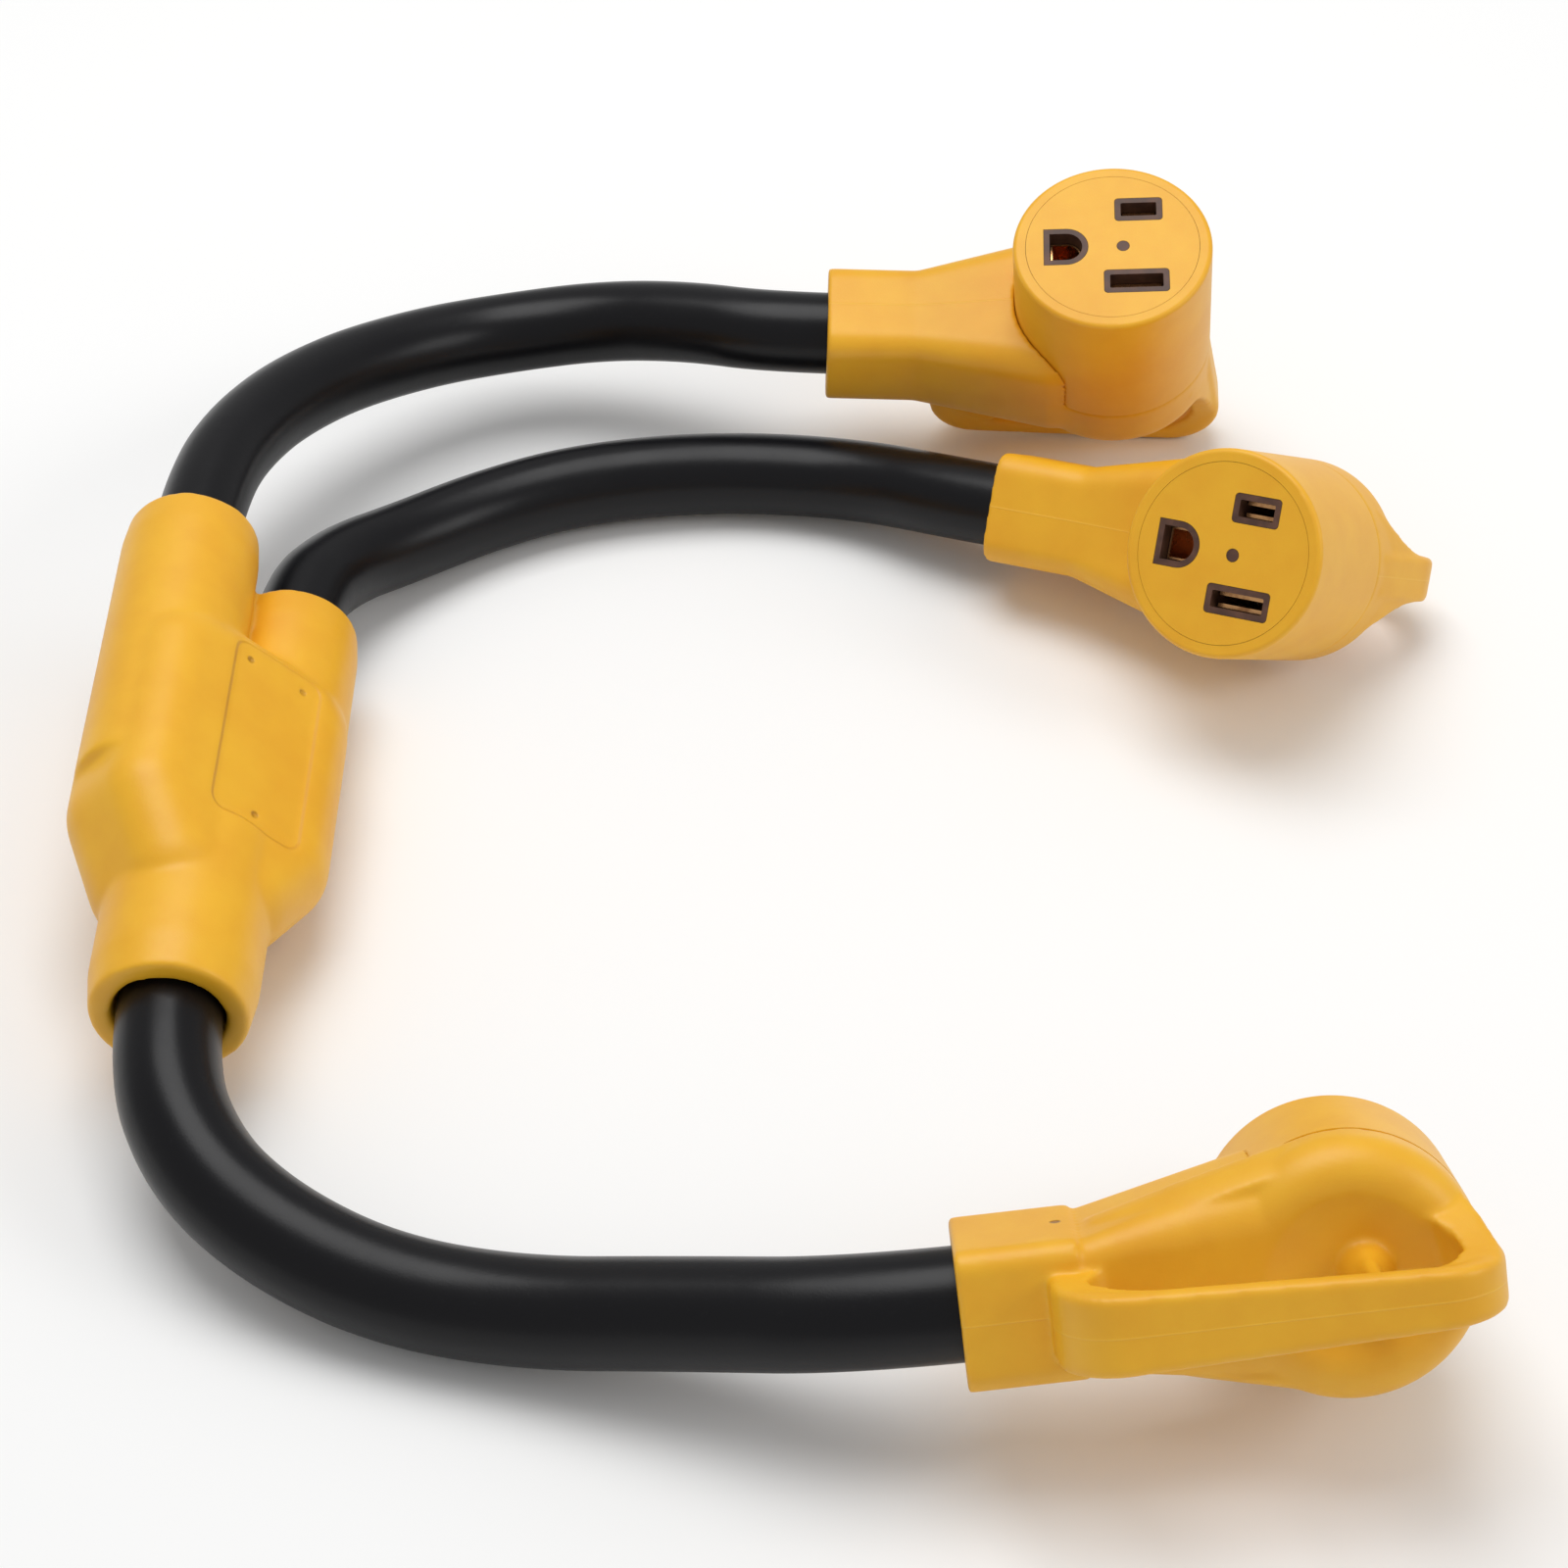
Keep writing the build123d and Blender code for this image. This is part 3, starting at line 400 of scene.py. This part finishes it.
def rolled_metal(name, bright, dull, roughness=0.26):
    """Stamped sheet metal with rolling marks and a light tarnish."""
    material, place, link = new_material(name, Metallic=1.0)
    stretched = place.node("ShaderNodeMapping", {"Vector": place, "Scale": (1.0, 1.0, 14.0)})
    marks = stretched.noise(900, 3)
    tarnish = place.noise(240, 4).ramp(0.42, 0.72)
    colour = tarnish.mix(bright, dull)
    dullness = marks * 0.16 + tarnish * 0.12 + roughness - 0.1
    link(Base_Color=colour, Roughness=dullness, Normal=marks.bump(0.00003, 0.4))
    return material


# ---- skins and cords


def loose_mesh(obj):
    """The mesh of an object with its modifiers applied."""
    bpy.context.view_layer.update()
    graph = bpy.context.evaluated_depsgraph_get()
    return bpy.data.meshes.new_from_object(obj.evaluated_get(graph), depsgraph=graph)


def add_flare(work, seat, levels, bow=0.0):
    """A closed solid through rectangles at several depths, bowed round the head where bow is set."""
    steps = 6
    rings = []
    for depth, inner, outer, half_width in levels:
        ring = []
        for x, turn in ((outer, 1), (inner, -1)):
            for step in range(steps + 1):
                y = turn * half_width * (2 * step / steps - 1)
                ring.append(seat.point(x - bow * y * y, y, depth))
        rings.append(ring)
    close_solid(work, rings)


def add_root(work, seat, levels):
    """A closed solid through ellipses at several depths, where a post grows out of a surface."""
    steps = 20
    rings = []
    for depth, inner, outer, half_width in levels:
        middle = (inner + outer) / 2
        ring = []
        for step in range(steps):
            turn = math.tau * step / steps
            x = middle + (outer - middle) * math.cos(turn)
            ring.append(seat.point(x, half_width * math.sin(turn), depth))
        rings.append(ring)
    close_solid(work, rings)


def add_cheeks(work, seat, levels, outline):
    """A closed solid through one outline, mirrored about the middle plane and scaled at each depth."""
    rings = []
    for depth, scale in levels:
        right = [seat.point(x * scale, -y * scale, depth) for x, y in outline]
        left = [seat.point(x * scale, y * scale, depth) for x, y in reversed(outline)]
        rings.append(right + left)
    close_solid(work, rings)


def close_solid(work, rings):
    """Join rings of points one after another and close both ends."""
    rings = [[work.verts.new(point) for point in ring] for ring in rings]
    count = len(rings[0])
    for upper, lower in zip(rings, rings[1:]):
        for near in range(count):
            far = (near + 1) % count
            work.faces.new((upper[near], upper[far], lower[far], lower[near]))
    work.faces.new(rings[0])
    work.faces.new(reversed(rings[-1]))


def moulded_skin(node, name, material, flares=(), rounds=SKIN_ROUNDS):
    """A soft-edged moulding over a CAD node: remeshed evenly, then relaxed so that its corners flow."""
    mesh = NODES[node].data.copy()
    mesh.name = name
    work = bmesh.new()
    work.from_mesh(mesh)
    bmesh.ops.remove_doubles(work, verts=work.verts, dist=0.001 * MM)
    for shape, *levels in flares:
        shape(work, *levels)
    bmesh.ops.recalc_face_normals(work, faces=work.faces)
    work.to_mesh(mesh)
    work.free()
    skin = bpy.data.objects.new(name, mesh)
    bpy.context.scene.collection.objects.link(skin)
    remesh = skin.modifiers.new("even", "REMESH")
    remesh.mode = "VOXEL"
    remesh.voxel_size = SKIN_VOXEL
    relax = skin.modifiers.new("relax", "SMOOTH")
    relax.factor = 0.5
    relax.iterations = rounds
    skin.data = loose_mesh(skin)
    skin.data.name = name
    skin.modifiers.clear()
    skin.data.shade_smooth()
    skin.data.materials.clear()
    skin.data.materials.append(material)
    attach(skin, "root")
    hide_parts(node)


def lay_cord(name, route, diameter, material, node):
    """A cord: one smooth curve with a round section, with its centre line sampled as points."""
    curve = bpy.data.curves.new(name, "CURVE")
    curve.dimensions = "3D"
    curve.resolution_u = 16
    curve.bevel_depth = diameter / 2
    curve.bevel_resolution = 16
    curve.use_fill_caps = True
    spline = curve.splines.new("NURBS")
    spline.points.add(len(route) - 1)
    for point, place in zip(spline.points, route):
        point.co = (*place, 1.0)
    spline.order_u = 3
    spline.use_endpoint_u = True
    spline.use_smooth = True
    curve.materials.append(material)
    cord = bpy.data.objects.new(name, curve)
    bpy.context.scene.collection.objects.link(cord)
    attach(cord, "root")
    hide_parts(node)
    bare = curve.copy()
    bare.bevel_depth = 0.0
    thread = bpy.data.objects.new(name + "_thread", bare)
    bpy.context.scene.collection.objects.link(thread)
    line = [vertex.co.copy() for vertex in loose_mesh(thread).vertices]
    bpy.data.objects.remove(thread)


# ---- camera

camera_data = bpy.data.cameras.new("camera")
camera_data.lens = CAMERA_LENS
camera_data.sensor_width = CAMERA_SENSOR
camera_data.clip_start = 0.05
camera = bpy.data.objects.new("camera", camera_data)
camera.location = CAMERA_PLACE
camera.rotation_euler = (CAMERA_TILT, 0.0, 0.0)
bpy.context.scene.collection.objects.link(camera)
bpy.context.scene.camera = camera

# ---- cords

jacket = rubber_jacket()
lay_cord("main_cord_jacket", MAIN_CORD_ROUTE, MAIN_CORD_DIAMETER, jacket, "main_cord")
lay_cord("branch_cord_a_jacket", BRANCH_A_ROUTE, BRANCH_CORD_DIAMETER, jacket, "branch_cord_a")
lay_cord("branch_cord_b_jacket", BRANCH_B_ROUTE, BRANCH_CORD_DIAMETER, jacket, "branch_cord_b")

# ---- mouldings

seats = {name: Seat(name) for name in SEATS}
vinyl = moulded_vinyl("yellow_vinyl", YELLOW_LIGHT, YELLOW_DEEP)


def parted_vinyl(name, dimples=()):
    """The yellow vinyl of a handle moulding, with the parting line down its middle, lightened by a painted
    highlight.
    """
    marks = parting_line(seats[name], PARTING_LINE_PAINTED_HIGHLIGHT, dimples)
    return moulded_vinyl(name + "_vinyl", YELLOW_LIGHT, YELLOW_DEEP, marks)


for name in ("socket_a", "socket_b"):
    seat = seats[name]
    flares = [
        (add_flare, seat, SOCKET_HEAD_FLARE, HEAD_BOW),
        (add_flare, seat, SOCKET_NECK_FLARE),
        (add_root, seat, SOCKET_POST_FLARE),
    ]
    moulded_skin(name + "_overmould", name + "_rear_skin", parted_vinyl(name), flares)
plug_flares = [
    (add_flare, seats["plug"], PLUG_HEAD_FLARE, PLUG_HEAD_BOW),
    (add_flare, seats["plug"], PLUG_NECK_FLARE),
    (add_root, seats["plug"], PLUG_POST_FLARE),
    (add_cheeks, seats["plug"], PLUG_CHEEK, PLUG_CHEEK_OUTLINE),
]
moulded_skin("plug_overmould", "plug_rear_skin", parted_vinyl("plug", PLUG_NECK_DIMPLES), plug_flares)
junction_vinyl = moulded_vinyl(
    "junction_vinyl", YELLOW_LIGHT, YELLOW_DEEP, label_recess(seats["junction"], LABEL_EDGE_PAINTED_SHADE)
)
moulded_skin("junction_overmould", "junction_skin", junction_vinyl, rounds=JUNCTION_ROUNDS)

# ---- every other CAD node

OTHER_MATERIALS = {
    "insulator_brown": hard_plastic("insulator", (0.06, 0.024, 0.014), (0.12, 0.05, 0.028), 0.55),
    "contact_brass": rolled_metal("contact_metal", (0.78, 0.42, 0.18), (0.42, 0.19, 0.08)),
    "prong_brass": rolled_metal("prong_metal", (0.83, 0.66, 0.36), (0.62, 0.46, 0.22)),
    "splice_tinned": rolled_metal("tinned_metal", (0.72, 0.72, 0.7), (0.5, 0.5, 0.48)),
    "splice_block_grey": hard_plastic("splice_plastic", (0.12, 0.12, 0.125), (0.17, 0.17, 0.175), 0.45),
    "wire_black": hard_plastic("black_insulation", (0.012, 0.012, 0.012), (0.025, 0.025, 0.025), 0.4),
    "wire_red": hard_plastic("red_insulation", (0.42, 0.02, 0.015), (0.52, 0.04, 0.03), 0.4),
    "wire_white": hard_plastic("white_insulation", (0.7, 0.7, 0.67), (0.8, 0.8, 0.78), 0.4),
    "wire_green": hard_plastic("green_insulation", (0.02, 0.2, 0.05), (0.04, 0.28, 0.08), 0.4),
}
for subpart in frame["record"]["subparts"]:
    node = subpart["node"]
    slot = subpart["material_slot"]
    material = vinyl if slot == "moulding_yellow" else OTHER_MATERIALS.get(slot, jacket)
    mesh = NODES[node].data
    mesh.materials.clear()
    mesh.materials.append(material)

# ---- floor and light


def pale_floor():
    """A plain matt floor at Z = 0."""
    mesh = bpy.data.meshes.new("floor")
    size = FLOOR_HALF_SIZE
    corners = [(-size, -size, 0), (size, -size, 0), (size, size, 0), (-size, size, 0)]
    mesh.from_pydata(corners, [], [(0, 1, 2, 3)])
    floor = bpy.data.objects.new("floor", mesh)
    bpy.context.scene.collection.objects.link(floor)
    material, place, link = new_material("pale_floor", Specular_IOR_Level=0.2)
    cloud = place.noise(3, 3)
    link(Base_Color=cloud.mix((0.9, 0.9, 0.895), (0.93, 0.93, 0.925)), Roughness=cloud * 0.1 + 0.6)
    mesh.materials.append(material)


def soft_light(name, place, size, power):
    """A square soft light that faces the middle of the floor."""
    light = bpy.data.lights.new(name, "AREA")
    light.size = size
    light.energy = power
    lamp = bpy.data.objects.new(name, light)
    lamp.location = place
    lamp.rotation_euler = (-Vector(place)).to_track_quat("-Z", "Y").to_euler()
    bpy.context.scene.collection.objects.link(lamp)


pale_floor()
world = bpy.data.worlds.new("studio")
world.use_nodes = True
world.node_tree.nodes["Background"].inputs["Color"].default_value = (1.0, 1.0, 1.0, 1.0)
world.node_tree.nodes["Background"].inputs["Strength"].default_value = WORLD_STRENGTH
bpy.context.scene.world = world
soft_light("top_softbox", (-0.15, 0.35, 1.4), 1.0, 12.5)
soft_light("right_softbox", (1.2, -0.3, 0.9), 0.6, 4)
bpy.context.scene.view_settings.view_transform = "Standard"
